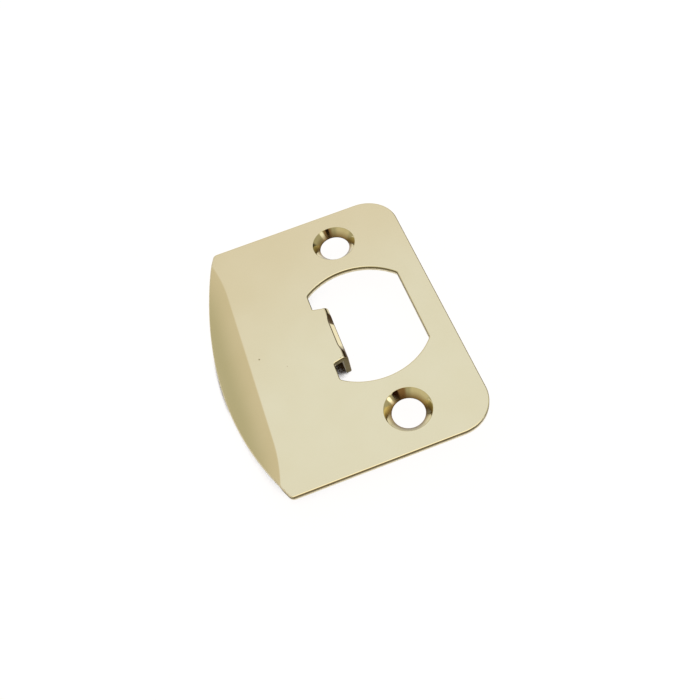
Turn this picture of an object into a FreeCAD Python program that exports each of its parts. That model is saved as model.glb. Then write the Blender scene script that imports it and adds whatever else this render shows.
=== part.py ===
import FreeCAD, Part
import math
import os

V = FreeCAD.Vector

# Door strike plate, stamped from one sheet. Millimetres.
# The back of the sheet lies in the plane Z = 0 and the seen face looks along +Z.
# The origin is midway between the two screw holes; -X leads to the lip and Y runs along the plate.

# plate
sheet = 1.02
plate_height = 57.15
holes_to_jamb_edge = 14.0
holes_to_lip_crest = 30.5
jamb_corner_radius = 6.8
lip_corner_radius = 1.0
front_edge_roll = 0.25

# screw holes, pressed into the sheet for flat-head screws
hole_spacing = 41.275
hole_radius = 3.0
countersink_rim_radius = 4.3
countersink_angle = 82.0
throat_land = 0.2

# latch opening: a round cut short on two sides
opening_radius = 13.0
opening_centre_to_lip_side = 1.0
opening_jamb_side = 9.0
opening_lip_side = 9.0
opening_corner_radius = 0.7

# tang: a tab of the sheet left in the opening and folded behind it
tab_root_width = 13.2
tang_width = 12.4
notch_corner_radius = 0.3
holes_to_tang_face = 6.1
tang_fold_radius = 0.1
tang_fold_angle = 90.0
tang_depth = 6.35
tang_corner_radius = 1.5

# flat pressed into the outside of the tang fold
press_depth = 0.3
press_length = 5.0
press_end_radius = 6.7
press_tilt = 50.0

# lip: folded down along a line that turns out to the edge at both ends, and curling on past it
holes_to_lip_fold = 23.4
lip_fold_length = 0.8
lip_fold_angle = 12.5
lip_edge_angle = 39.0
lip_edge_radius = 64.5
lip_fold_straight = 34.0
lip_fold_end_radius = 33.6

# sizes that follow from those above
half_height = plate_height / 2.0
fold_x = -holes_to_lip_fold
spare = 2.0
joint_x = fold_x + spare
lip_width = holes_to_lip_crest - holes_to_lip_fold
fold_slope = math.tan(math.radians(lip_fold_angle))
curl_slope = math.tan(math.radians(lip_edge_angle)) - fold_slope


def ease_area(t):
    # area under a smooth step from 0 to 1
    u = min(max(t, 0.0), 1.0)
    return u ** 6 - 3.0 * u ** 5 + 2.5 * u ** 4 + max(t - 1.0, 0.0)


def lip_drop(d):
    # how far the front face has fallen at distance d past the fold line
    if d <= 0.0:
        return 0.0
    fold = fold_slope * lip_fold_length * ease_area(d / lip_fold_length)
    return fold + curl_slope * d * d / (2.0 * lip_width)


def fold_line(y):
    # straight along the middle, then an arc that leaves the sheet through its curved edge
    past = max(abs(y) - lip_fold_straight / 2.0, 0.0)
    return fold_x - lip_fold_end_radius + math.sqrt(lip_fold_end_radius ** 2 - past ** 2)


def front_z(x, y):
    return sheet - lip_drop(fold_line(y) - x)


def front_normal(x, y):
    e = 0.001
    dx = (front_z(x + e, y) - front_z(x - e, y)) / (2.0 * e)
    dy = (front_z(x, y + e) - front_z(x, y - e)) / (2.0 * e)
    n = V(-dx, -dy, 1.0)
    return n.normalize()


def skin_points(x, y):
    front = V(x, y, front_z(x, y))
    back = front - front_normal(x, y) * sheet
    return front, back


def closed_solid(faces):
    shell = Part.makeShell(faces)
    shell.sewShape()
    solid = Part.makeSolid(shell)
    if solid.Volume < 0.0:
        solid.reverse()
    return solid


def lip_sheet():
    # the folded sheet on the lip side, wider than the lip all round
    far_x = -holes_to_lip_crest - spare
    edge_y = half_height + spare
    columns = 58
    rows = 64
    front_rows = []
    back_rows = []
    for i in range(columns + 1):
        x = joint_x + (far_x - joint_x) * i / columns
        front_row = []
        back_row = []
        for j in range(rows + 1):
            y = -edge_y + 2.0 * edge_y * j / rows
            front, back = skin_points(x, y)
            front_row.append(front)
            back_row.append(back)
        front_rows.append(front_row)
        back_rows.append(back_row)
    faces = []
    borders = []
    for rows_of_points in (front_rows, back_rows):
        surface = Part.BSplineSurface()
        surface.interpolate(rows_of_points)
        u0, u1, v0, v1 = surface.bounds()
        faces.append(surface.toShape())
        borders.append((surface.uIso(u0), surface.uIso(u1), surface.vIso(v0), surface.vIso(v1)))
    for front_edge, back_edge in zip(borders[0], borders[1]):
        faces.append(Part.makeRuledSurface(front_edge.toShape(), back_edge.toShape()))
    return closed_solid(faces)


def lip_outline():
    # a block whose sides stand square to the sheet along the edge of the lip
    centre_x = -holes_to_lip_crest + lip_edge_radius
    inner = lip_edge_radius - lip_corner_radius
    corner_y = half_height - lip_corner_radius
    corner_x = centre_x - math.sqrt(inner ** 2 - corner_y ** 2)
    lean = math.asin(corner_y / inner)
    high = sheet + spare
    low = front_z(-holes_to_lip_crest, 0.0) - 2.0 * sheet - spare
    steps = 90
    wires = []
    for level in (high, low):
        points = []
        marks = []
        for i in range(steps + 1):
            a = -lean + 2.0 * lean * i / steps
            x = centre_x - lip_edge_radius * math.cos(a)
            y = lip_edge_radius * math.sin(a)
            n = front_normal(x, y)
            foot = V(x, y, front_z(x, y))
            points.append(foot + n * ((level - foot.z) / n.z))
            marks.append(float(i))
        edge = Part.BSplineCurve()
        edge.interpolate(Points=points, Parameters=marks)
        mid = (math.pi / 2.0 + lean) / 2.0
        low_mid = V(corner_x - lip_corner_radius * math.cos(mid),
                    -corner_y - lip_corner_radius * math.sin(mid), level)
        high_mid = V(low_mid.x, -low_mid.y, level)
        low_start = V(corner_x, -half_height, level)
        high_start = V(corner_x, half_height, level)
        low_root = V(joint_x, -half_height, level)
        high_root = V(joint_x, half_height, level)
        wires.append(Part.Wire([
            Part.LineSegment(low_root, low_start).toShape(),
            Part.Arc(low_start, low_mid, points[0]).toShape(),
            edge.toShape(),
            Part.Arc(points[-1], high_mid, high_start).toShape(),
            Part.LineSegment(high_start, high_root).toShape(),
            Part.LineSegment(high_root, low_root).toShape(),
        ]))
    return Part.makeLoft(wires, True, True)


def flat_plate():
    width = holes_to_jamb_edge - joint_x
    plate = Part.makeBox(width, plate_height, sheet, V(joint_x, -half_height, 0.0))
    corners = []
    for edge in plate.Edges:
        middle = edge.CenterOfMass
        upright = abs(edge.Vertexes[0].Z - edge.Vertexes[-1].Z) > sheet / 2.0
        if upright and middle.x > 0.0:
            corners.append(edge)
    return plate.makeFillet(jamb_corner_radius, corners)


def opening_block():
    tall = 6.0 * sheet
    centre = V(-opening_centre_to_lip_side, 0.0, -tall / 2.0)
    disc = Part.makeCylinder(opening_radius, tall, centre)
    strip = Part.makeBox(opening_jamb_side + opening_lip_side, 4.0 * opening_radius, tall,
                         V(-opening_lip_side, -2.0 * opening_radius, -tall / 2.0))
    block = disc.common(strip)
    block = block.makeFillet(opening_corner_radius, upright_edges(block))
    root_x = -opening_lip_side - spare
    tab = Part.Face(Part.makePolygon([
        V(root_x, -tab_side(root_x), -tall),
        V(fold_start_x, -tab_side(fold_start_x), -tall),
        V(fold_start_x, tab_side(fold_start_x), -tall),
        V(root_x, tab_side(root_x), -tall),
        V(root_x, -tab_side(root_x), -tall),
    ])).extrude(V(0.0, 0.0, 2.0 * tall))
    block = block.cut(tab)
    roots = []
    for edge in upright_edges(block):
        middle = edge.CenterOfMass
        near_x = abs(middle.x + opening_lip_side) < 0.05
        near_y = abs(abs(middle.y) - tab_root_width / 2.0) < 0.05
        if near_x and near_y:
            roots.append(edge)
    return block.makeFillet(notch_corner_radius, roots)


def upright_edges(shape):
    found = []
    for edge in shape.Edges:
        if len(edge.Vertexes) != 2:
            continue
        a = edge.Vertexes[0].Point
        b = edge.Vertexes[1].Point
        if abs(a.x - b.x) < 1e-6 and abs(a.y - b.y) < 1e-6 and abs(a.z - b.z) > sheet:
            found.append(edge)
    return found


fold_outer = tang_fold_radius + sheet
fold_start_x = -holes_to_tang_face - fold_outer
tang_overlap = sheet / 2.0


def tab_side(x):
    # half the width of the tab, narrowing from the opening's side to the fold
    along = (x + opening_lip_side) / (fold_start_x + opening_lip_side)
    return (tab_root_width + (tang_width - tab_root_width) * along) / 2.0


def fold_point(radius, angle):
    a = math.radians(angle)
    return V(fold_start_x + radius * math.sin(a), 0.0, sheet - fold_outer + radius * math.cos(a))


def tang():
    a = math.radians(tang_fold_angle)
    run = V(math.cos(a), 0.0, -math.sin(a))
    outer_end = fold_point(fold_outer, tang_fold_angle)
    inner_end = fold_point(tang_fold_radius, tang_fold_angle)
    length = (outer_end.z - (sheet - tang_depth)) / math.sin(a)
    root = V(fold_start_x - tang_overlap, 0.0, 0.0)
    front_root = V(root.x, 0.0, sheet)
    front_start = fold_point(fold_outer, 0.0)
    back_start = fold_point(tang_fold_radius, 0.0)
    profile = Part.Wire([
        Part.LineSegment(front_root, front_start).toShape(),
        Part.Arc(front_start, fold_point(fold_outer, tang_fold_angle / 2.0), outer_end).toShape(),
        Part.LineSegment(outer_end, outer_end + run * length).toShape(),
        Part.LineSegment(outer_end + run * length, inner_end + run * length).toShape(),
        Part.LineSegment(inner_end + run * length, inner_end).toShape(),
        Part.Arc(inner_end, fold_point(tang_fold_radius, tang_fold_angle / 2.0), back_start).toShape(),
        Part.LineSegment(back_start, root).toShape(),
        Part.LineSegment(root, front_root).toShape(),
    ])
    profile.translate(V(0.0, -tang_width / 2.0, 0.0))
    strip = Part.Face(profile).extrude(V(0.0, tang_width, 0.0))
    ends = []
    for edge in strip.Edges:
        middle = edge.CenterOfMass
        low = middle.z < sheet - tang_depth + 0.6 * sheet
        outer = abs(abs(middle.y) - tang_width / 2.0) < 1e-4
        if low and outer and abs(edge.Length - sheet) < 1e-3:
            ends.append(edge)
    strip = strip.makeFillet(tang_corner_radius, ends)
    rims = []
    for edge in strip.Edges:
        middle = edge.valueAt((edge.FirstParameter + edge.LastParameter) / 2.0)
        if on_tang_front(middle) and on_tang_rim(edge):
            rims.append(edge)
    strip = strip.makeFillet(front_edge_roll, rims)
    return strip.cut(press_block())


def on_tang_front(point):
    # whether a point lies on the seen side of the tab, its fold or the tang
    a = math.radians(tang_fold_angle)
    run = V(math.cos(a), 0.0, -math.sin(a))
    out = V(math.sin(a), 0.0, math.cos(a))
    end = fold_point(fold_outer, tang_fold_angle)
    away = V(point.x, 0.0, point.z)
    if (away - end).dot(run) > 0.0:
        return abs((away - end).dot(out)) < 1e-3
    if point.x < fold_start_x:
        return abs(point.z - sheet) < 1e-3
    return abs((away - fold_point(0.0, 0.0)).Length - fold_outer) < 1e-3


def on_tang_rim(edge):
    middle = edge.valueAt((edge.FirstParameter + edge.LastParameter) / 2.0)
    at_root = abs(middle.x - fold_start_x + tang_overlap) < 1e-4
    return abs(middle.y) > 0.1 * tang_width and not at_root


def press_block():
    a = math.radians(press_tilt)
    out = V(math.sin(a), 0.0, math.cos(a))
    across = V(math.cos(a), 0.0, -math.sin(a))
    floor = fold_point(fold_outer - press_depth, press_tilt)
    rise = press_depth + sheet / 2.0
    reach = math.sqrt(press_end_radius ** 2 - (press_end_radius - rise) ** 2)
    half = press_length / 2.0
    turn = math.asin(reach / press_end_radius) / 2.0
    bow = V(0.0, press_end_radius * math.sin(turn), 0.0)
    lift = out * (press_end_radius * (1.0 - math.cos(turn)))
    near = floor + V(0.0, -half, 0.0)
    far = floor + V(0.0, half, 0.0)
    near_top = near + V(0.0, -reach, 0.0) + out * rise
    far_top = far + V(0.0, reach, 0.0) + out * rise
    outline = Part.Wire([
        Part.LineSegment(near, far).toShape(),
        Part.Arc(far, far + bow + lift, far_top).toShape(),
        Part.LineSegment(far_top, near_top).toShape(),
        Part.Arc(near_top, near - bow + lift, near).toShape(),
    ])
    outline.translate(across * -spare)
    return Part.Face(outline).extrude(across * 2.0 * spare)


def front_rims(shape):
    # edges of the seen face, apart from where the lip joins the flat and where the tang begins
    rims = []
    for edge in shape.Edges:
        span = edge.LastParameter - edge.FirstParameter
        points = [edge.valueAt(edge.FirstParameter + span * part) for part in (0.1, 0.5, 0.9)]
        on_front = all(abs(p.z - front_z(p.x, p.y)) < 0.02 for p in points)
        on_joint = all(abs(p.x - joint_x) < 1e-4 for p in points)
        on_tab_end = all(abs(p.x - fold_start_x) < 1e-4 for p in points)
        if on_front and not on_joint and not on_tab_end:
            rims.append(edge)
    return rims


half_angle = math.radians(countersink_angle / 2.0)
throat_depth = (countersink_rim_radius - hole_radius) / math.tan(half_angle)
hole_end_z = sheet - throat_depth - throat_land


def hole_boss(y):
    # metal pushed out behind the sheet by the pressed countersink
    root = countersink_rim_radius - sheet * math.tan(half_angle) + sheet / math.cos(half_angle)
    end = root + hole_end_z * math.tan(half_angle)
    sunk = sheet / 4.0
    top = root + sunk * math.tan(half_angle)
    return Part.makeCone(end, top, sunk - hole_end_z, V(0.0, y, hole_end_z))


def hole_cutter(y):
    throat_z = sheet - throat_depth
    mouth = countersink_rim_radius + spare * math.tan(half_angle)
    cone = Part.makeCone(hole_radius, mouth, throat_depth + spare, V(0.0, y, throat_z))
    bore = Part.makeCylinder(hole_radius, 2.0 * spare, V(0.0, y, throat_z - 2.0 * spare))
    return cone.fuse(bore)


lip = lip_sheet().common(lip_outline())
plate = flat_plate().cut(opening_block())
plate = plate.fuse(lip).removeSplitter()
plate = plate.makeFillet(front_edge_roll, front_rims(plate))
plate = plate.fuse(tang()).removeSplitter()
for side in (-1.0, 1.0):
    plate = plate.fuse(hole_boss(side * hole_spacing / 2.0))
for side in (-1.0, 1.0):
    plate = plate.cut(hole_cutter(side * hole_spacing / 2.0))
plate = plate.removeSplitter()
strike_plate = plate.Solids[0]

os.makedirs("parts", exist_ok=True)
strike_plate.exportStep("parts/strike_plate.step")
print("solids", len(plate.Solids), "valid", strike_plate.isValid(), "volume", round(strike_plate.Volume, 1))
print("box", strike_plate.BoundBox)
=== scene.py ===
import math
import bpy
from mathutils import Matrix, Vector
from mathutils.geometry import delaunay_2d_cdt


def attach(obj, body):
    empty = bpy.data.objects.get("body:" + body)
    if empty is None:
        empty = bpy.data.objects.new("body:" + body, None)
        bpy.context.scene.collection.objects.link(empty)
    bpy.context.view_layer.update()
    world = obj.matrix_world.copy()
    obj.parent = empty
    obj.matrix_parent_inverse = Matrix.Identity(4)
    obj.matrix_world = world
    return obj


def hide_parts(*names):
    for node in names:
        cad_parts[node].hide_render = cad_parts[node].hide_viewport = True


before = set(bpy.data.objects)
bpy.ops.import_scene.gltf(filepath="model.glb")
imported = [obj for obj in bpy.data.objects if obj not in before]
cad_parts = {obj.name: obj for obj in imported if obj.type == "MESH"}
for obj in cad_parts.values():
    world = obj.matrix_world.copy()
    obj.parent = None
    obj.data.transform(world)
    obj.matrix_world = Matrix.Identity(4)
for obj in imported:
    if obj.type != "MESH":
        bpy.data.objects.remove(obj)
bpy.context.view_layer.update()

scene = bpy.context.scene
scene.view_settings.view_transform = "Standard"
mm = 0.001


def linearOf(hexText):
    # sRGB hex to linear RGBA
    parts = [int(hexText[i:i + 2], 16) / 255 for i in (1, 3, 5)]
    return [c / 12.92 if c <= 0.04045 else ((c + 0.055) / 1.055) ** 2.4 for c in parts] + [1.0]


def addNode(tree, kind, inputs=None, **settings):
    # one node: settings on the node, and for each input a value or a socket to link
    node = tree.nodes.new(kind)
    for name, value in settings.items():
        setattr(node, name, value)
    for key, value in (inputs or {}).items():
        if isinstance(value, bpy.types.NodeSocket):
            tree.links.new(value, node.inputs[key])
        else:
            node.inputs[key].default_value = value
    return node


# buffed and lacquered front: soft mirror with faint clouds in the colour
polish = {
    "name": "brassBuffed",
    "colour": "#efe6bf",
    "cloud": "#eadfb4",
    "cloudSize": 9.0,
    "roughness": 0.11,
    "roughnessSpread": 0.04,
    "grainSize": 1.4,
    "grainDepth": 0.0003,
    # brown of the painted shade laid where the skin is stretched, and how much duller that skin goes
    "stretchedShade": "#5b4626",
    "stretchDull": 0.2,
    "pitColour": "#aea47f",
    "pitDull": 0.3,
    "pitCore": 0.35,  # share of the radius that is fully dark
    "pits": [(-21.62, -0.06, 0.24), (-17.13, -3.65, 0.11), (-7.48, -5.94, 0.16), (-6.96, -5.56, 0.14)],
}
# countersinks, coined by the punch: as clear a mirror as the face but darker, and brown round the throat, where the
# brown is painted shade, a painted reflection of the shaded floor under the plate
coin = {
    "name": "brassCoined",
    "colour": "#dcd2a6",
    "cloud": "#c9bc8a",
    "cloudSize": 1.6,
    "roughness": 0.08,
    "roughnessSpread": 0.06,
    "grainSize": 0.6,
    "grainDepth": 0.0015,
    "stretchedShade": "#7d5d2e",
    "stretchDull": 0.2,
}
# upper half of the sheared edge, rubbed smooth by the die: a dark narrow line to the eye, its dark olive colour
# painted shade, a painted reflection of the shaded floor
shearShaded = {
    "name": "brassShearedShaded",
    "colour": "#7b714d",
    "cloud": "#63583b",
    "cloudSize": 1.1,
    "roughness": 0.26,
    "roughnessSpread": 0.16,
    "grainSize": 0.35,
    "grainDepth": 0.004,
    "stretchedShade": "#5b4626",
    "stretchDull": 0.2,
}
# lower half of the sheared edge, torn off: bare and grainy, so it scatters light and looks pale; its near-white
# colour is a painted highlight, a painted reflection of the white table
tornLit = {
    "name": "brassTornLit",
    "colour": "#f3ebd0",
    "cloud": "#e0d4ae",
    "cloudSize": 0.7,
    "roughness": 0.5,
    "roughnessSpread": 0.16,
    "grainSize": 0.2,
    "grainDepth": 0.008,
}
# unpolished back, as rolled: broad dull sheen
mill = {
    "name": "brassMillRolled",
    "colour": "#d8c893",
    "cloud": "#c9b780",
    "cloudSize": 5.0,
    "roughness": 0.34,
    "roughnessSpread": 0.1,
    "grainSize": 0.6,
    "grainDepth": 0.002,
}


# noise that every brass shares: clouds in the colour and the gloss, grain in the height
noise = {
    "cloudDetail": 3.0,
    "cloudRoughness": 0.55,
    "cloudLow": 0.3,  # clouds from low to high run through the spread of roughness
    "cloudHigh": 0.7,
    "grainDetail": 2.0,
}


def mixColour(tree, share, first, second, label=""):
    inputs = {"Factor": share, 6: first, 7: second}
    return addNode(tree, "ShaderNodeMix", inputs, label=label, data_type="RGBA").outputs[2]


def brassOf(look):
    mat = bpy.data.materials.new(look["name"])
    mat.use_nodes = True
    tree = mat.node_tree
    tree.nodes.clear()
    where = addNode(tree, "ShaderNodeTexCoord").outputs["Object"]
    clouds = addNode(tree, "ShaderNodeTexNoise", {
        "Vector": where,
        "Scale": 1 / (look["cloudSize"] * mm),
        "Detail": noise["cloudDetail"],
        "Roughness": noise["cloudRoughness"],
    }).outputs["Fac"]
    tint = mixColour(tree, clouds, linearOf(look["colour"]), linearOf(look["cloud"]))
    gloss = addNode(tree, "ShaderNodeMapRange", {
        "Value": clouds,
        "From Min": noise["cloudLow"],
        "From Max": noise["cloudHigh"],
        "To Min": look["roughness"] - look["roughnessSpread"] / 2,
        "To Max": look["roughness"] + look["roughnessSpread"] / 2,
    }).outputs[0]
    for x, y, radius in look.get("pits", []):
        # each pit is a dark dull dot sunk in the front
        spot = (x * mm, y * mm, sheetMetal["sheet"] * mm)
        apart = addNode(tree, "ShaderNodeVectorMath", {0: where, 1: spot}, operation="DISTANCE").outputs["Value"]
        near = addNode(tree, "ShaderNodeMapRange", {
            "Value": apart,
            "From Min": radius * mm,
            "From Max": look["pitCore"] * radius * mm,
        }, interpolation_type="SMOOTHSTEP").outputs[0]
        tint = mixColour(tree, near, tint, linearOf(look["pitColour"]))
        gloss = addNode(tree, "ShaderNodeMath", {0: near, 1: look["pitDull"], 2: gloss},
                        operation="MULTIPLY_ADD").outputs[0]
    if "stretchedShade" in look:
        # stretched skin goes dull, and it goes brown by painted shade: a painted reflection of the shaded floor
        strainShade = addNode(tree, "ShaderNodeAttribute", attribute_name="strainShade").outputs["Fac"]
        tint = mixColour(tree, strainShade, tint, linearOf(look["stretchedShade"]))
        gloss = addNode(tree, "ShaderNodeMath", {0: strainShade, 1: look["stretchDull"], 2: gloss},
                        operation="MULTIPLY_ADD").outputs[0]
    grain = addNode(tree, "ShaderNodeTexNoise", {
        "Vector": where,
        "Scale": 1 / (look["grainSize"] * mm),
        "Detail": noise["grainDetail"],
    }).outputs["Fac"]
    bump = addNode(tree, "ShaderNodeBump", {"Height": grain, "Strength": 1.0, "Distance": look["grainDepth"] * mm})
    shader = addNode(tree, "ShaderNodeBsdfPrincipled", {
        "Base Color": tint,
        "Metallic": 1.0,
        "Roughness": gloss,
        "Normal": bump.outputs[0],
    })
    addNode(tree, "ShaderNodeOutputMaterial", {"Surface": shader.outputs[0]})
    return mat


# the plate is cut flat as a blank and then pressed; millimetres and degrees
sheetMetal = {
    "sheet": 1.02,
    "halfHeight": 28.575,
    "jambEdge": 14.0,
    "jambCorner": 6.8,
    "lipCrest": 30.5,
    "lipEdgeRadius": 64.5,
    "lipCorner": 1.0,
    "edgeRoll": 0.25,
    # share of the edge's height, from the back, that is torn and takes the pale painted highlight; above it the edge
    # takes the dark painted shade
    "tornLitShare": 0.42,
    "holeSpacing": 41.275,
    "rimRadius": 4.3,
    "rimRoll": 0.09,
    "throatRadius": 3.0,
    "sinkAngle": 82.0,
    "throatLand": 0.2,
    # how strongly, and how far out from the throats, the brown painted shade is laid
    "throatStrainShade": 0.9,
    "throatStrainShadeWidth": 0.9,
    "openingRadius": 13.0,
    "openingCentre": -1.0,
    "openingSide": 9.0,
    "openingCorner": 0.7,
    "tabHalfRoot": 6.6,
    "tabHalfEnd": 6.2,
    "notchCorner": 0.3,
    "tangFace": 6.1,
    "tangFoldRadius": 0.1,
    "tangFoldAngle": 90.0,
    "tangDepth": 6.35,
    "tangCorner": 1.5,
    "pressDepth": 0.3,
    "pressLength": 5.0,
    "pressEndRadius": 6.7,
    "pressTilt": 50.0,
    "pressEase": 0.1,
    "burnishEnd": 2.4,  # along Y, with the length over which it fades
    "burnishFade": 0.3,
    # where the stretched skin on the tang takes its brown painted shade; the flat's dark border below is painted
    # shade too
    "strainShadeEnd": 5.0,
    "strainShadeFade": 0.6,
    "strainShadeDepth": 0.3,  # below the outer skin
    "stretchShadeFrom": 0.2,  # radians round the tang's fold
    "stretchShadeOver": 0.25,
    "borderShift": -0.65,  # the flat's dark border, in shares of pressEase
    "borderLevel": 1.3,
    "lipFold": 23.4,
    "lipFoldLength": 0.8,
    "lipFoldAngle": 12.5,
    "lipEdgeAngle": 39.0,
    "lipFoldStraight": 34.0,
    "lipFoldEndRadius": 33.6,
    "lipFacing": -0.6,  # edge directions below this in X belong to the lip's edge
    "sharpAngle": 30.0,
}
sm = sheetMetal
# how finely the blank is divided: steps along its edges in millimetres, then rows, columns and margins
grid = {
    "jambCorner": 0.25,
    "lipCorner": 0.1,
    "lipEdge": 0.3,
    "side": 1.2,
    "openingCorner": 0.08,
    "openingArc": 0.25,
    "openingSide": 0.8,
    "notchCorner": 0.05,
    "notchSide": 0.6,
    "tabSide": 0.3,
    "tangCorner": 0.12,
    "tangSide": 0.4,
    "tangEnd": 0.5,
    "lipFineRow": 0.05,
    "lipFineRows": 16,
    "lipRow": 0.3,
    "lipRows": 23,
    "lipColumn": 0.42,
    "lipColumns": 66,
    "lipMargin": 0.22,
    "foldRows": 34,
    "foldColumns": 50,
    "foldMargin": 0.12,
    "tangRows": 7,
    "tangColumns": 6,
    "tangMargin": 0.5,
    "tangSpread": 0.9,
    "rollSteps": 7,
    "polishedSteps": 4,
    "rimSteps": 5,
    "coneSteps": 6,
    "holeSides": 160,
    "guard": 0.06,  # row of points that keeps the face flat up to a roll
    "weld": 1e-7,
    "near": 0.01,
    "flatWeight": 90,
}
foldOuter = sm["tangFoldRadius"] + sm["sheet"]
tangStart = -sm["tangFace"] - foldOuter
foldArc = foldOuter * math.radians(sm["tangFoldAngle"])
tangEnd = tangStart + foldArc + sm["tangDepth"] - foldOuter


def arcRun(cx, cy, radius, start, end, step, facing=1.0):
    # points with the direction that leaves the metal; facing -1 where the metal lies outside the arc
    count = max(3, math.ceil(abs(math.radians(end - start)) * radius / step))
    run = []
    for i in range(count + 1):
        a = math.radians(start + (end - start) * i / count)
        c, s = math.cos(a), math.sin(a)
        run.append((cx + radius * c, cy + radius * s, facing * c, facing * s))
    return run


def lineRun(x0, y0, x1, y1, step):
    # points between two ends, neither included; metal on the left of the way along
    length = math.hypot(x1 - x0, y1 - y0)
    count = max(1, math.ceil(length / step))
    nx, ny = (y1 - y0) / length, -(x1 - x0) / length
    return [(x0 + (x1 - x0) * i / count, y0 + (y1 - y0) * i / count, nx, ny) for i in range(1, count)]


def mirrored(run):
    return [(x, -y, nx, -ny) for x, y, nx, ny in reversed(run)]


def joined(first, second, step):
    return first + lineRun(*first[-1][:2], *second[0][:2], step) + second


def closed(loop, step):
    return loop + lineRun(*loop[-1][:2], *loop[0][:2], step)


def outerLoop():
    half, corner = sm["halfHeight"], sm["jambCorner"]
    jamb = arcRun(sm["jambEdge"] - corner, half - corner, corner, 0, 90, grid["jambCorner"])
    inner = sm["lipEdgeRadius"] - sm["lipCorner"]
    lipCentre = sm["lipEdgeRadius"] - sm["lipCrest"]
    cornerY = half - sm["lipCorner"]
    cornerX = lipCentre - math.sqrt(inner ** 2 - cornerY ** 2)
    lean = math.degrees(math.asin(cornerY / inner))
    lipEnd = arcRun(cornerX, cornerY, sm["lipCorner"], 90, 180 - lean, grid["lipCorner"])
    lipEdge = arcRun(lipCentre, 0, sm["lipEdgeRadius"], 180 - lean, 180 + lean, grid["lipEdge"])[1:-1]
    upper = joined(jamb, lipEnd, grid["side"])
    return closed(upper + lipEdge + mirrored(upper), grid["side"])


def openingLoop():
    # clockwise, from the middle of the jamb side down and round by the tang
    side, corner = sm["openingSide"], sm["openingCorner"]
    centre, radius = sm["openingCentre"], sm["openingRadius"]
    reach = radius - corner
    rightX, leftX = side - corner, -side + corner
    rightY = math.sqrt(reach ** 2 - (rightX - centre) ** 2)
    leftY = math.sqrt(reach ** 2 - (leftX - centre) ** 2)
    rightTurn = math.degrees(math.atan2(rightY, rightX - centre))
    leftTurn = math.degrees(math.atan2(leftY, leftX - centre))
    half = arcRun(rightX, -rightY, corner, 0, -rightTurn, grid["openingCorner"], -1.0)
    half += arcRun(centre, 0, radius, -rightTurn, -leftTurn, grid["openingArc"], -1.0)[1:-1]
    half += arcRun(leftX, -leftY, corner, -leftTurn, -180, grid["openingCorner"], -1.0)
    # notch corner between the lip side and the tapering tab
    taper = (sm["tabHalfEnd"] - sm["tabHalfRoot"]) / (tangStart + side)
    lean = math.degrees(math.atan(-taper))
    turn = sm["notchCorner"]
    notchX = -side + turn
    notchY = sm["tabHalfRoot"] + taper * turn + turn / math.cos(math.radians(lean))
    notch = arcRun(notchX, -notchY, turn, 180, 90 + lean, grid["notchCorner"], -1.0)
    half = joined(half, notch, grid["notchSide"])
    fold = []
    for i in range(grid["foldRows"] + 1):
        fold.append((tangStart + foldArc * i / grid["foldRows"], -sm["tabHalfEnd"], 0.0, -1.0))
    half = joined(half, fold, grid["tabSide"])
    turn = sm["tangCorner"]
    tip = arcRun(tangEnd - turn, -sm["tabHalfEnd"] + turn, turn, -90, 0, grid["tangCorner"])
    half = joined(half, tip, grid["tangSide"])
    return closed(joined(half, mirrored(half), grid["tangEnd"]), grid["openingSide"])


def foldLine(y):
    past = max(abs(y) - sm["lipFoldStraight"] / 2, 0.0)
    return -sm["lipFold"] - sm["lipFoldEndRadius"] + math.sqrt(sm["lipFoldEndRadius"] ** 2 - past ** 2)


def insidePoints():
    # extra points where the sheet will bend: rows along the lip's fold, and over the tang's fold
    points = []
    lipCentre = sm["lipEdgeRadius"] - sm["lipCrest"]
    room = sm["edgeRoll"] + grid["lipMargin"]
    lowest = sm["halfHeight"] - room - sm["lipCorner"]
    downs = [grid["lipFineRow"] * i for i in range(grid["lipFineRows"] + 1)]
    downs += [sm["lipFoldLength"] + grid["lipRow"] * i for i in range(1, grid["lipRows"] + 1)]
    for j in range(-grid["lipColumns"], grid["lipColumns"] + 1):
        y = grid["lipColumn"] * j
        for down in downs:
            x = foldLine(y) - down
            if math.hypot(x - lipCentre, y) < sm["lipEdgeRadius"] - room and abs(y) < lowest:
                points.append((x, y))
    across = sm["tabHalfEnd"] - sm["edgeRoll"] - grid["foldMargin"]
    rows, columns = grid["foldRows"], grid["foldColumns"]
    for i in range(rows + 1):
        for j in range(-columns, columns + 1):
            points.append((tangStart + foldArc * i / rows, across * j / columns))
    run = tangEnd - tangStart - foldArc - grid["tangMargin"]
    rows, columns = grid["tangRows"], grid["tangColumns"]
    for i in range(1, rows + 1):
        for j in range(-columns, columns + 1):
            if i < rows - 1 or abs(j) < columns - 1:  # clear of the rounded corners
                points.append((tangStart + foldArc + run * i / rows, grid["tangSpread"] * across * j / columns))
    return points


verts, faces, finishes = [], [], []
# one number for each finish, and the tree's material inputs in the same order
front, wall, behind, sunk, raggedLit = range(5)
finishNames = ("frontMaterial", "wallMaterial", "backMaterial", "sinkMaterial", "tornLitMaterial")


def skirt(loop, profile):
    # rows of points down an edge: profile gives (inset from the edge, height, finish of the strip above);
    # the lip's edge is left torn, without a polished roll, so it takes the pale painted highlight, and the tab's
    # sides are rubbed smooth all the way down, so they take the dark painted shade
    rows = []
    for inset, height, finish in profile:
        row = []
        for x, y, nx, ny in loop:
            row.append(len(verts))
            verts.append((x - nx * inset, y - ny * inset, height))
        if rows:
            last = rows[-1]
            for i in range(len(loop)):
                k = (i + 1) % len(loop)
                faces.append((last[i], row[i], row[k], last[k]))
                x, y, facing = loop[i][:3]
                bare = finish == front and facing < sm["lipFacing"] and x < -sm["lipFold"]
                rubbedShaded = finish == raggedLit and -sm["openingSide"] < x < tangEnd and abs(y) < sm["tabHalfRoot"]
                finishes.append(raggedLit if bare else wall if rubbedShaded else finish)
        rows.append(row)
    return rows[0], rows[-1]


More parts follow.
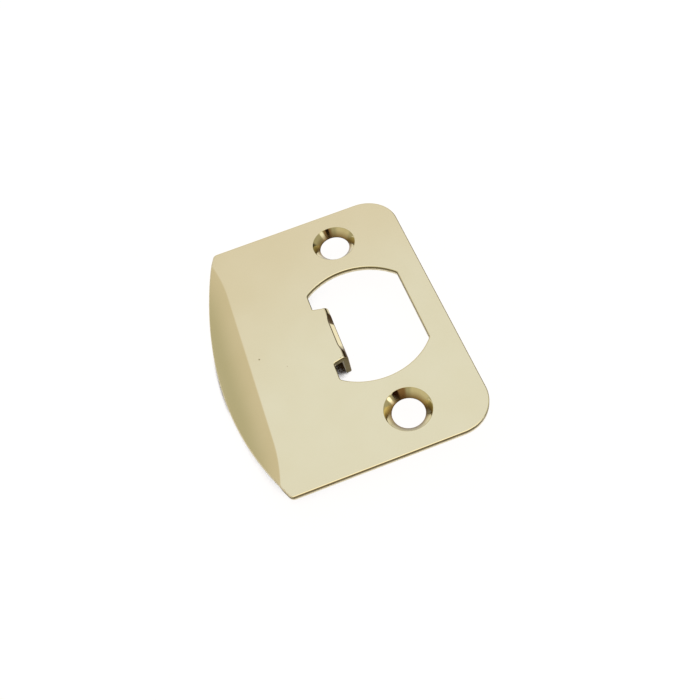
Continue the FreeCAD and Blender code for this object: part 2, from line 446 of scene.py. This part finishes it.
def fillSheet(rings, points, height, finish, up):
    # triangles between the rings; spread from one inside point without crossing a ring
    ids = [i for ring in rings for i in ring]
    fence = []
    for ring in rings:
        first = len(fence)
        fence += [(first + i, first + (i + 1) % len(ring)) for i in range(len(ring))]
    flat = [Vector(verts[i][:2]) for i in ids] + [Vector(p) for p in points]
    for x, y in points:
        ids.append(len(verts))
        verts.append((x, y, height))
    triangles, origins = delaunay_2d_cdt(flat, fence, [], 0, grid["weld"])[2:4]
    back = [origin[0] for origin in origins]
    barrier = {frozenset(edge) for edge in fence}
    triangles = [[back[i] for i in triangle] for triangle in triangles]
    byEdge = {}
    for t, triangle in enumerate(triangles):
        for i in range(3):
            byEdge.setdefault(frozenset((triangle[i], triangle[i - 1])), []).append(t)
    seed = next(t for t, triangle in enumerate(triangles) if max(triangle) >= len(fence))
    kept, queue = {seed}, [seed]
    while queue:
        triangle = triangles[queue.pop()]
        for i in range(3):
            edge = frozenset((triangle[i], triangle[i - 1]))
            if edge in barrier:
                continue
            for t in byEdge[edge]:
                if t not in kept:
                    kept.add(t)
                    queue.append(t)
    for t in sorted(kept):
        a, b, c = (ids[i] for i in triangles[t])
        faces.append((a, b, c) if up else (a, c, b))
        finishes.append(finish)


def blankMesh():
    sheet, roll = sm["sheet"], sm["edgeRoll"]
    rolled = [(roll + grid["guard"], sheet, front)]
    for k in range(grid["rollSteps"] + 1):
        a = math.radians(90 * k / grid["rollSteps"])
        # the lower steps of the roll take the sheared finish and its dark painted shade
        finish = front if k <= grid["polishedSteps"] else wall
        rolled.append((roll * (1 - math.sin(a)), sheet - roll * (1 - math.cos(a)), finish))
    edge = rolled + [(0.0, sheet * sm["tornLitShare"], wall), (0.0, 0.0, raggedLit)]
    tops, bottoms = [], []
    for loop in (outerLoop(), openingLoop()):
        top, bottom = skirt(loop, edge)
        tops.append(top)
        bottoms.append(bottom)
    half = math.radians(sm["sinkAngle"] / 2)
    throatZ = sheet - (sm["rimRadius"] - sm["throatRadius"]) / math.tan(half)
    endZ = throatZ - sm["throatLand"]
    bossRoot = sm["rimRadius"] - sheet * math.tan(half) + sheet / math.cos(half)
    bossEnd = bossRoot + endZ * math.tan(half)
    # the rim is eased by a small arc tangent to the face and to the cone
    turn = math.pi / 2 - half
    ease = sm["rimRoll"]
    rim = sm["rimRadius"] + ease * math.tan(turn / 2)
    sink = [(rim + grid["guard"], sheet, front)]
    for k in range(grid["rimSteps"] + 1):
        a = turn * k / grid["rimSteps"]
        sink.append((rim - ease * math.sin(a), sheet - ease * (1 - math.cos(a)), sunk if k else front))
    easedR, easedZ = sink[-1][:2]
    for k in range(1, grid["coneSteps"] + 1):
        share = k / grid["coneSteps"]
        sink.append((easedR + (sm["throatRadius"] - easedR) * share, easedZ + (throatZ - easedZ) * share, sunk))
    sink += [(sm["throatRadius"], endZ, wall), (bossEnd, endZ, wall), (bossRoot, 0.0, behind)]
    angles = [-2 * math.pi * i / grid["holeSides"] for i in range(grid["holeSides"])]
    for side in (-1, 1):
        cy = side * sm["holeSpacing"] / 2
        ring = [(0.0, cy, math.cos(a), math.sin(a)) for a in angles]
        top, bottom = skirt(ring, [(-r, z, finish) for r, z, finish in sink])
        tops.append(top)
        bottoms.append(bottom)
    inside = insidePoints()
    fillSheet(tops, inside, sheet, front, True)
    fillSheet(bottoms, inside, 0.0, behind, False)
    mesh = bpy.data.meshes.new("plateBlank")
    mesh.from_pydata([(x * mm, y * mm, z * mm) for x, y, z in verts], [], faces)
    mesh.attributes.new("finish", "INT", "FACE").data.foreach_set("value", finishes)
    ends, sides = tangEnd + grid["near"], sm["tabHalfEnd"] + grid["near"]
    onTang = [tangStart < x < ends and abs(y) < sides for x, y, z in verts]
    # the skin is stretched most round the throats, and the same mark lays brown painted shade there
    strainShade = []
    for x, y, z in verts:
        out = math.hypot(x, abs(y) - sm["holeSpacing"] / 2) - sm["throatRadius"]
        strainShade.append(sm["throatStrainShade"] * max(0.0, 1 - out / sm["throatStrainShadeWidth"]))
    mesh.attributes.new("strainShade", "FLOAT", "POINT").data.foreach_set("value", strainShade)
    mesh.attributes.new("tang", "BOOLEAN", "POINT").data.foreach_set("value", onTang)
    mesh.polygons.foreach_set("use_smooth", [True] * len(faces))
    mesh.set_sharp_from_angle(angle=math.radians(sm["sharpAngle"]))
    return mesh


def pressingTree():
    # bends the flat blank: the lip over its fold line, the tang over its fold, a flat pressed on that fold
    tree = bpy.data.node_groups.new("pressing", "GeometryNodeTree")
    face = tree.interface
    face.new_socket("Geometry", in_out="INPUT", socket_type="NodeSocketGeometry")
    for name in pressing:
        face.new_socket(name, in_out="INPUT", socket_type="NodeSocketFloat")
    for name in finishNames:
        face.new_socket(name, in_out="INPUT", socket_type="NodeSocketMaterial")
    face.new_socket("Geometry", in_out="OUTPUT", socket_type="NodeSocketGeometry")
    given = addNode(tree, "NodeGroupInput").outputs
    place = addNode(tree, "GeometryNodeInputPosition").outputs[0]
    spot = addNode(tree, "ShaderNodeSeparateXYZ", {0: place}).outputs
    value = {name: given[name] for name in pressing}
    value.update(x=spot[0], y=spot[1], z=spot[2])
    rule = [
        ("depth", "SUBTRACT", "sheet", "z"),
        ("away", "ABSOLUTE", "y"),
        ("side", "SIGN", "y"),
        # distance past the lip's fold line, which is straight and then turns out to the edge
        ("beyond", "SUBTRACT", "away", "lipHalfStraight"),
        ("past", "MAXIMUM", "beyond", 0.0),
        ("pastSquared", "MULTIPLY", "past", "past"),
        ("endSquared", "MULTIPLY", "lipFoldEndRadius", "lipFoldEndRadius"),
        ("rootSquared", "SUBTRACT", "endSquared", "pastSquared"),
        ("root", "SQRT", "rootSquared"),
        ("turnCentre", "SUBTRACT", "lipFoldX", "lipFoldEndRadius"),
        ("line", "ADD", "turnCentre", "root"),
        ("lead", "SUBTRACT", "line", "x"),
        ("down", "MAXIMUM", "lead", 0.0),
        ("share", "DIVIDE", "down", "lipFoldLength"),
        ("u", "MINIMUM", "share", 1.0),
        # smooth step and the area under it
        ("u3", "POWER", "u", 3.0),
        ("u4", "POWER", "u", 4.0),
        ("stepA", "MULTIPLY_ADD", "u", 6.0, -15.0),
        ("stepB", "MULTIPLY_ADD", "stepA", "u", 10.0),
        ("step", "MULTIPLY", "stepB", "u3"),
        ("areaA", "ADD", "u", -3.0),
        ("areaB", "MULTIPLY_ADD", "areaA", "u", 2.5),
        ("areaC", "MULTIPLY", "areaB", "u4"),
        ("over", "SUBTRACT", "share", "u"),
        ("area", "ADD", "areaC", "over"),
        # fall and slope of the lip
        ("curl", "DIVIDE", "lipCurlSlope", "lipWidth"),
        ("foldFall", "MULTIPLY", "lipFoldSlope", "lipFoldLength"),
        ("fallA", "MULTIPLY", "foldFall", "area"),
        ("curlHalf", "MULTIPLY", "curl", 0.5),
        ("downSquared", "MULTIPLY", "down", "down"),
        ("fall", "MULTIPLY_ADD", "downSquared", "curlHalf", "fallA"),
        ("slopeA", "MULTIPLY", "lipFoldSlope", "step"),
        ("slope", "MULTIPLY_ADD", "down", "curl", "slopeA"),
        ("lipZ", "SUBTRACT", "sheet", "fall"),
        ("leanX", "MULTIPLY", "slope", -1.0),
        ("bow", "DIVIDE", "past", "root"),
        ("bowSigned", "MULTIPLY", "bow", "side"),
        ("leanY", "MULTIPLY", "leanX", "bowSigned"),
        # tang: round the fold and then straight on
        ("along", "SUBTRACT", "x", "tangStart"),
        ("arc", "MULTIPLY", "tangFoldOuter", "tangFoldAngle"),
        ("bent", "MINIMUM", "along", "arc"),
        ("angle", "DIVIDE", "bent", "tangFoldOuter"),
        ("run", "SUBTRACT", "along", "bent"),
        ("radius", "SUBTRACT", "tangFoldOuter", "depth"),
        ("sinA", "SINE", "angle"),
        ("cosA", "COSINE", "angle"),
        ("goX", "MULTIPLY", "run", "cosA"),
        ("goZ", "MULTIPLY", "run", "sinA"),
        ("bendX", "MULTIPLY_ADD", "radius", "sinA", "goX"),
        ("roundZ", "MULTIPLY", "radius", "cosA"),
        ("bendZ", "SUBTRACT", "roundZ", "goZ"),
        # flat pressed on the fold, running out in an arc at both ends
        ("sinT", "SINE", "pressTilt"),
        ("cosT", "COSINE", "pressTilt"),
        ("proudZ", "MULTIPLY", "bendZ", "cosT"),
        ("proud", "MULTIPLY_ADD", "bendX", "sinT", "proudZ"),
        ("ends", "SUBTRACT", "away", "pressHalfLength"),
        ("endPast", "MAXIMUM", "ends", 0.0),
        ("endPastSquared", "MULTIPLY", "endPast", "endPast"),
        ("pressSquared", "MULTIPLY", "pressEndRadius", "pressEndRadius"),
        ("pressLeft", "SUBTRACT", "pressSquared", "endPastSquared"),
        ("pressRoot", "SQRT", "pressLeft"),
        ("rise", "SUBTRACT", "pressEndRadius", "pressRoot"),
        ("floor", "SUBTRACT", "tangFoldOuter", "pressDepth"),
        ("limit", "ADD", "floor", "rise"),
        ("excessAll", "SUBTRACT", "proud", "limit"),
        ("excess", "SMOOTH_MAX", "excessAll", 0.0, "pressEase"),
        ("cutX", "MULTIPLY", "excess", "sinT"),
        ("cutZ", "MULTIPLY", "excess", "cosT"),
        ("flatX", "SUBTRACT", "bendX", "cutX"),
        ("flatZ", "SUBTRACT", "bendZ", "cutZ"),
        ("tangX", "ADD", "tangStart", "flatX"),
        ("foldZ", "SUBTRACT", "sheet", "tangFoldOuter"),
        ("tangZ", "ADD", "foldZ", "flatZ"),
        # skin stretched over the fold, burnished again on the pressed flat, and dark along the flat's border; the
        # dark here is painted shade, a painted reflection of the shaded floor under the plate
        ("stretchShadeA", "SUBTRACT", "angle", "stretchShadeFrom"),
        ("stretchShadeB", "DIVIDE", "stretchShadeA", "stretchShadeOver"),
        ("stretchShadeC", "MINIMUM", "stretchShadeB", 1.0),
        ("stretchShade", "MAXIMUM", "stretchShadeC", 0.0),
        ("pressedA", "DIVIDE", "excess", "pressEase"),
        ("pressedB", "MINIMUM", "pressedA", 1.0),
        ("bareA", "SUBTRACT", "burnishEnd", "y"),
        ("bareB", "DIVIDE", "bareA", "burnishFade"),
        ("bareC", "MINIMUM", "bareB", 1.0),
        ("bare", "MAXIMUM", "bareC", 0.0),
        ("pressed", "MULTIPLY", "pressedB", "bare"),
        ("raw", "SUBTRACT", 1.0, "pressed"),
        ("skin", "MULTIPLY", "stretchShade", "raw"),
        ("borderA", "MULTIPLY_ADD", "pressEase", "borderShift", "excessAll"),
        ("borderB", "ABSOLUTE", "borderA"),
        ("borderC", "DIVIDE", "borderB", "pressEase"),
        ("borderD", "SUBTRACT", "borderLevel", "borderC"),
        ("border", "MINIMUM", "borderD", 1.0),
        ("drawnShade", "MAXIMUM", "skin", "border"),
        # only the outer skin, and not out to the tang's far corner
        ("skinDepth", "DIVIDE", "depth", "strainShadeDepth"),
        ("skinA", "SUBTRACT", 1.0, "skinDepth"),
        ("skinShare", "MAXIMUM", "skinA", 0.0),
        ("cornerA", "SUBTRACT", "strainShadeEnd", "y"),
        ("cornerB", "DIVIDE", "cornerA", "strainShadeFade"),
        ("cornerC", "MINIMUM", "cornerB", 1.0),
        ("corner", "MAXIMUM", "cornerC", 0.0),
        ("strainShadeA", "MULTIPLY", "drawnShade", "skinShare"),
        ("strainShade", "MULTIPLY", "strainShadeA", "corner"),
    ]
    for name, operation, *terms in rule:
        inputs = {i: value[term] if isinstance(term, str) else term for i, term in enumerate(terms)}
        value[name] = addNode(tree, "ShaderNodeMath", inputs, operation=operation).outputs[0]
    lean = addNode(tree, "ShaderNodeCombineXYZ", {0: value["leanX"], 1: value["leanY"], 2: 1.0}).outputs[0]
    normal = addNode(tree, "ShaderNodeVectorMath", {0: lean}, operation="NORMALIZE").outputs[0]
    below = addNode(tree, "ShaderNodeVectorMath", {0: normal, "Scale": value["depth"]}, operation="SCALE").outputs[0]
    skin = addNode(tree, "ShaderNodeCombineXYZ", {0: value["x"], 1: value["y"], 2: value["lipZ"]}).outputs[0]
    lipSpot = addNode(tree, "ShaderNodeVectorMath", {0: skin, 1: below}, operation="SUBTRACT").outputs[0]
    tangSpot = addNode(tree, "ShaderNodeCombineXYZ", {0: value["tangX"], 1: value["y"], 2: value["tangZ"]}).outputs[0]
    onTang = addNode(tree, "GeometryNodeInputNamedAttribute", {"Name": "tang"}, data_type="BOOLEAN").outputs[0]
    spotNow = addNode(tree, "GeometryNodeSwitch", {0: onTang, 1: lipSpot, 2: tangSpot},
                      input_type="VECTOR").outputs[0]
    drawnShade = addNode(tree, "GeometryNodeInputNamedAttribute", {"Name": "strainShade"}, data_type="FLOAT").outputs[0]
    strainShade = addNode(tree, "GeometryNodeSwitch", {0: onTang, 1: drawnShade, 2: value["strainShade"]},
                     input_type="FLOAT").outputs[0]
    marked = addNode(tree, "GeometryNodeStoreNamedAttribute",
                     {"Geometry": given["Geometry"], "Name": "strainShade", "Value": strainShade},
                     data_type="FLOAT", domain="POINT").outputs[0]
    shape = addNode(tree, "GeometryNodeSetPosition", {"Geometry": marked, "Position": spotNow}).outputs[0]
    shape = addNode(tree, "GeometryNodeRealizeInstances", {0: shape}).outputs[0]
    finish = addNode(tree, "GeometryNodeInputNamedAttribute", {"Name": "finish"}, data_type="INT").outputs[0]
    for number, name in enumerate(finishNames):
        chosen = addNode(tree, "FunctionNodeCompare", {2: finish, 3: number},
                         data_type="INT", operation="EQUAL").outputs[0]
        shape = addNode(tree, "GeometryNodeSetMaterial",
                        {"Geometry": shape, "Selection": chosen, "Material": given[name]}).outputs[0]
    addNode(tree, "NodeGroupOutput", {0: shape})
    return tree


# what the pressing tree takes, in metres and radians
foldSlope = math.tan(math.radians(sm["lipFoldAngle"]))
pressing = {
    "sheet": sm["sheet"] * mm,
    "lipFoldX": -sm["lipFold"] * mm,
    "lipHalfStraight": sm["lipFoldStraight"] / 2 * mm,
    "lipFoldEndRadius": sm["lipFoldEndRadius"] * mm,
    "lipFoldLength": sm["lipFoldLength"] * mm,
    "lipFoldSlope": foldSlope,
    "lipCurlSlope": math.tan(math.radians(sm["lipEdgeAngle"])) - foldSlope,
    "lipWidth": (sm["lipCrest"] - sm["lipFold"]) * mm,
    "tangStart": tangStart * mm,
    "tangFoldOuter": foldOuter * mm,
    "tangFoldAngle": math.radians(sm["tangFoldAngle"]),
    "pressDepth": sm["pressDepth"] * mm,
    "pressHalfLength": sm["pressLength"] / 2 * mm,
    "pressEndRadius": sm["pressEndRadius"] * mm,
    "pressTilt": math.radians(sm["pressTilt"]),
    "pressEase": sm["pressEase"] * mm,
    "burnishEnd": sm["burnishEnd"] * mm,
    "burnishFade": sm["burnishFade"] * mm,
    "strainShadeEnd": sm["strainShadeEnd"] * mm,
    "strainShadeFade": sm["strainShadeFade"] * mm,
    "strainShadeDepth": sm["strainShadeDepth"] * mm,
    "stretchShadeFrom": sm["stretchShadeFrom"],
    "stretchShadeOver": sm["stretchShadeOver"],
    "borderShift": sm["borderShift"],
    "borderLevel": sm["borderLevel"],
}
looks = dict(zip(finishNames, (polish, shearShaded, mill, coin, tornLit)))
blank = blankMesh()
print("blank", len(blank.polygons), "faces")
pressed = bpy.data.objects.new("pressed", blank)
scene.collection.objects.link(pressed)
tree = pressingTree()
bend = pressed.modifiers.new("pressing", "NODES")
bend.node_group = tree
for socket in tree.interface.items_tree:
    if socket.in_out == "INPUT" and socket.name in pressing:
        bend[socket.identifier] = pressing[socket.name]
    if socket.in_out == "INPUT" and socket.socket_type == "NodeSocketMaterial":
        bend[socket.identifier] = brassOf(looks[socket.name])
# flats keep their own direction beside the rolled edges
weighted = pressed.modifiers.new("flatFirst", "WEIGHTED_NORMAL")
weighted.keep_sharp = True
weighted.weight = grid["flatWeight"]
bpy.context.view_layer.update()
graph = bpy.context.evaluated_depsgraph_get()
plateMesh = bpy.data.meshes.new_from_object(pressed.evaluated_get(graph))
plateMesh.name = "strikePlate"
bpy.data.objects.remove(pressed)
plate = bpy.data.objects.new("strikePlate", plateMesh)
scene.collection.objects.link(plate)
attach(plate, "root")
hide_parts("strike_plate")
print("plate", len(plateMesh.polygons), "faces")

# paper table under the lip's edge and the end of the tang
table = {
    "clearance": 0.02,
    "size": 3000.0,
    # dark brown of the paper, seen only where its glow fails: the colour of the painted shadow
    "colour": "#5e5048",
    "glow": 0.96,
    "shadeReach": 9.0,
    "shadeSide": (0.6, 0.0, 0.8),  # cover is looked for on this side
    "shadeSamples": 12,
    "shadeFull": 0.34,  # openness to the sky where the white has gone, and where it is whole again
    "shadeGone": 0.46,
    "mirroredFull": 0.5,  # the same as the brass sees it
    "mirroredGone": 0.93,
    "mirroredLeast": 0.28,  # light that the brass throws back under itself
}
foldX = -sm["lipFold"] * mm
lipFoot = min((v.co for v in plateMesh.vertices if v.co.x < foldX), key=lambda p: p.z)
tangFoot = min((v.co for v in plateMesh.vertices if v.co.x > foldX),
               key=lambda p: (p.z - lipFoot.z) / (p.x - lipFoot.x))
tableSide = Vector((tangFoot.x - lipFoot.x, 0, tangFoot.z - lipFoot.z)).normalized()
tableUp = tableSide.cross(Vector((0, 1, 0)))
centre = tangFoot - tableUp * table["clearance"] * mm
reach = table["size"] * mm / 2
corners = [centre + tableSide * sx * reach + Vector((0, 1, 0)) * sy * reach
           for sx, sy in ((-1, -1), (1, -1), (1, 1), (-1, 1))]
tableMesh = bpy.data.meshes.new("tableTop")
tableMesh.from_pydata([tuple(c) for c in corners], [], [(0, 1, 2, 3)])
tableMat = bpy.data.materials.new("paperWhiteTable")
tableMat.use_nodes = True
tree = tableMat.node_tree
tree.nodes.clear()
paperShadowTone = addNode(tree, "ShaderNodeBsdfDiffuse", {"Color": linearOf(table["colour"])})
path = addNode(tree, "ShaderNodeLightPath").outputs
mirror = addNode(tree, "ShaderNodeMath", {0: path["Is Glossy Ray"], 1: path["Is Transmission Ray"]},
                 operation="MAXIMUM").outputs[0]
# the paper's own white fails where the plate covers it, so its shadow stays, deepest behind the tang
shadeSide = addNode(tree, "ShaderNodeCombineXYZ", dict(enumerate(table["shadeSide"]))).outputs[0]
cover = addNode(tree, "ShaderNodeAmbientOcclusion", {"Distance": table["shadeReach"] * mm, "Normal": shadeSide},
                samples=table["shadeSamples"]).outputs["AO"]
glowLevel = 0.0
for ray, full, gone, least in ((path["Is Camera Ray"], table["shadeFull"], table["shadeGone"], 0.0),
                               (mirror, table["mirroredFull"], table["mirroredGone"], table["mirroredLeast"])):
    openness = addNode(tree, "ShaderNodeMapRange", {
        "Value": cover,
        "From Min": full,
        "From Max": gone,
        "To Min": least,
        "To Max": table["glow"],
    }, interpolation_type="SMOOTHSTEP").outputs[0]
    glowLevel = addNode(tree, "ShaderNodeMath", {0: ray, 1: openness, 2: glowLevel},
                        operation="MULTIPLY_ADD").outputs[0]
glow = addNode(tree, "ShaderNodeEmission", {"Strength": glowLevel})
both = addNode(tree, "ShaderNodeAddShader", {0: paperShadowTone.outputs[0], 1: glow.outputs[0]})
addNode(tree, "ShaderNodeOutputMaterial", {"Surface": both.outputs[0]})
tableMesh.materials.append(tableMat)
tableTop = bpy.data.objects.new("tableTop", tableMesh)
scene.collection.objects.link(tableTop)
print("table")

# studio seen in the metal: each patch has a direction, the cosines where it is full and gone, and a level
studio = {
    "backdrop": "#ffffff",
    "room": "#c1bdac",
    "patches": [
        ("upperWall", (-0.2, 0.5, 0.85), 0.98, 0.62, "#dad2c7", 1.0),
        ("ceiling", (0.25, 0.3, 0.92), 0.875, 0.80, "#eae6e8", 1.0),
        ("lamp", (0.15, 0.1, 0.98), 0.885, 0.79, "#f0f3ff", 1.0),
        ("strip", (0.1, -0.2, 0.97), 0.94, 0.88, "#fff8ee", 1.35),
        ("darkBand", (0.8, 0.57, 0.15), 0.97, 0.88, "#4a4232", 0.6),
        ("brownWall", (0.15, -0.92, 0.35), 0.965, 0.88, "#937458", 1.0),
        ("leftWall", (-0.92, -0.35, 0.2), 0.9, 0.72, "#e6dfce", 1.0),
        ("darkCloth", (0.43, -0.85, 0.28), 0.982, 0.968, "#2a1409", 1.0),
        ("darkBar", (0.15, -0.823, 0.543), 0.995, 0.987, "#2a1c10", 1.0),
        ("paleBar", (0.82, -0.54, 0.19), 0.997, 0.989, "#f6f6ff", 2.2),
        ("paleBarTop", (0.6, -0.65, 0.47), 0.994, 0.984, "#f6f6ff", 1.4),
    ],
}
world = bpy.data.worlds.new("studio")
scene.world = world
world.use_nodes = True
tree = world.node_tree
tree.nodes.clear()
where = addNode(tree, "ShaderNodeTexCoord").outputs["Generated"]
colour = linearOf(studio["room"])
for name, aim, full, gone, tint, level in studio["patches"]:
    near = addNode(tree, "ShaderNodeVectorMath", {0: where, 1: Vector(aim).normalized()},
                   operation="DOT_PRODUCT").outputs["Value"]
    share = addNode(tree, "ShaderNodeMapRange", {"Value": near, "From Min": gone, "From Max": full},
                    interpolation_type="SMOOTHSTEP").outputs[0]
    light = [c * level for c in linearOf(tint)[:3]] + [1.0]
    colour = mixColour(tree, share, colour, light, name)
# beyond the table the camera sees plain white
straight = addNode(tree, "ShaderNodeLightPath").outputs["Is Camera Ray"]
colour = mixColour(tree, straight, colour, linearOf(studio["backdrop"]))
sky = addNode(tree, "ShaderNodeBackground", {"Color": colour, "Strength": 1.0})
addNode(tree, "ShaderNodeOutputWorld", {"Surface": sky.outputs[0]})
print("studio")

# camera as fitted to the photograph, millimetres
camera = {
    "place": (-14.297, -81.613, 116.758),
    "right": (0.935674, -0.323289, -0.141416),
    "up": (0.346941, 0.769726, 0.535867),
    "back": (-0.064389, -0.550460, 0.832375),
    "lens": 38.965,
    "sensor": 36.0,
    "clip": (0.005, 20.0),  # metres
}
lens = bpy.data.cameras.new("camera")
lens.sensor_fit = "HORIZONTAL"
lens.sensor_width = camera["sensor"]
lens.lens = camera["lens"]
lens.clip_start, lens.clip_end = camera["clip"]
eye = bpy.data.objects.new("camera", lens)
turn = Matrix((camera["right"], camera["up"], camera["back"])).transposed().to_4x4()
eye.matrix_world = Matrix.Translation(Vector(camera["place"]) * mm) @ turn
scene.collection.objects.link(eye)
scene.camera = eye
print("camera")

bpy.context.view_layer.update()
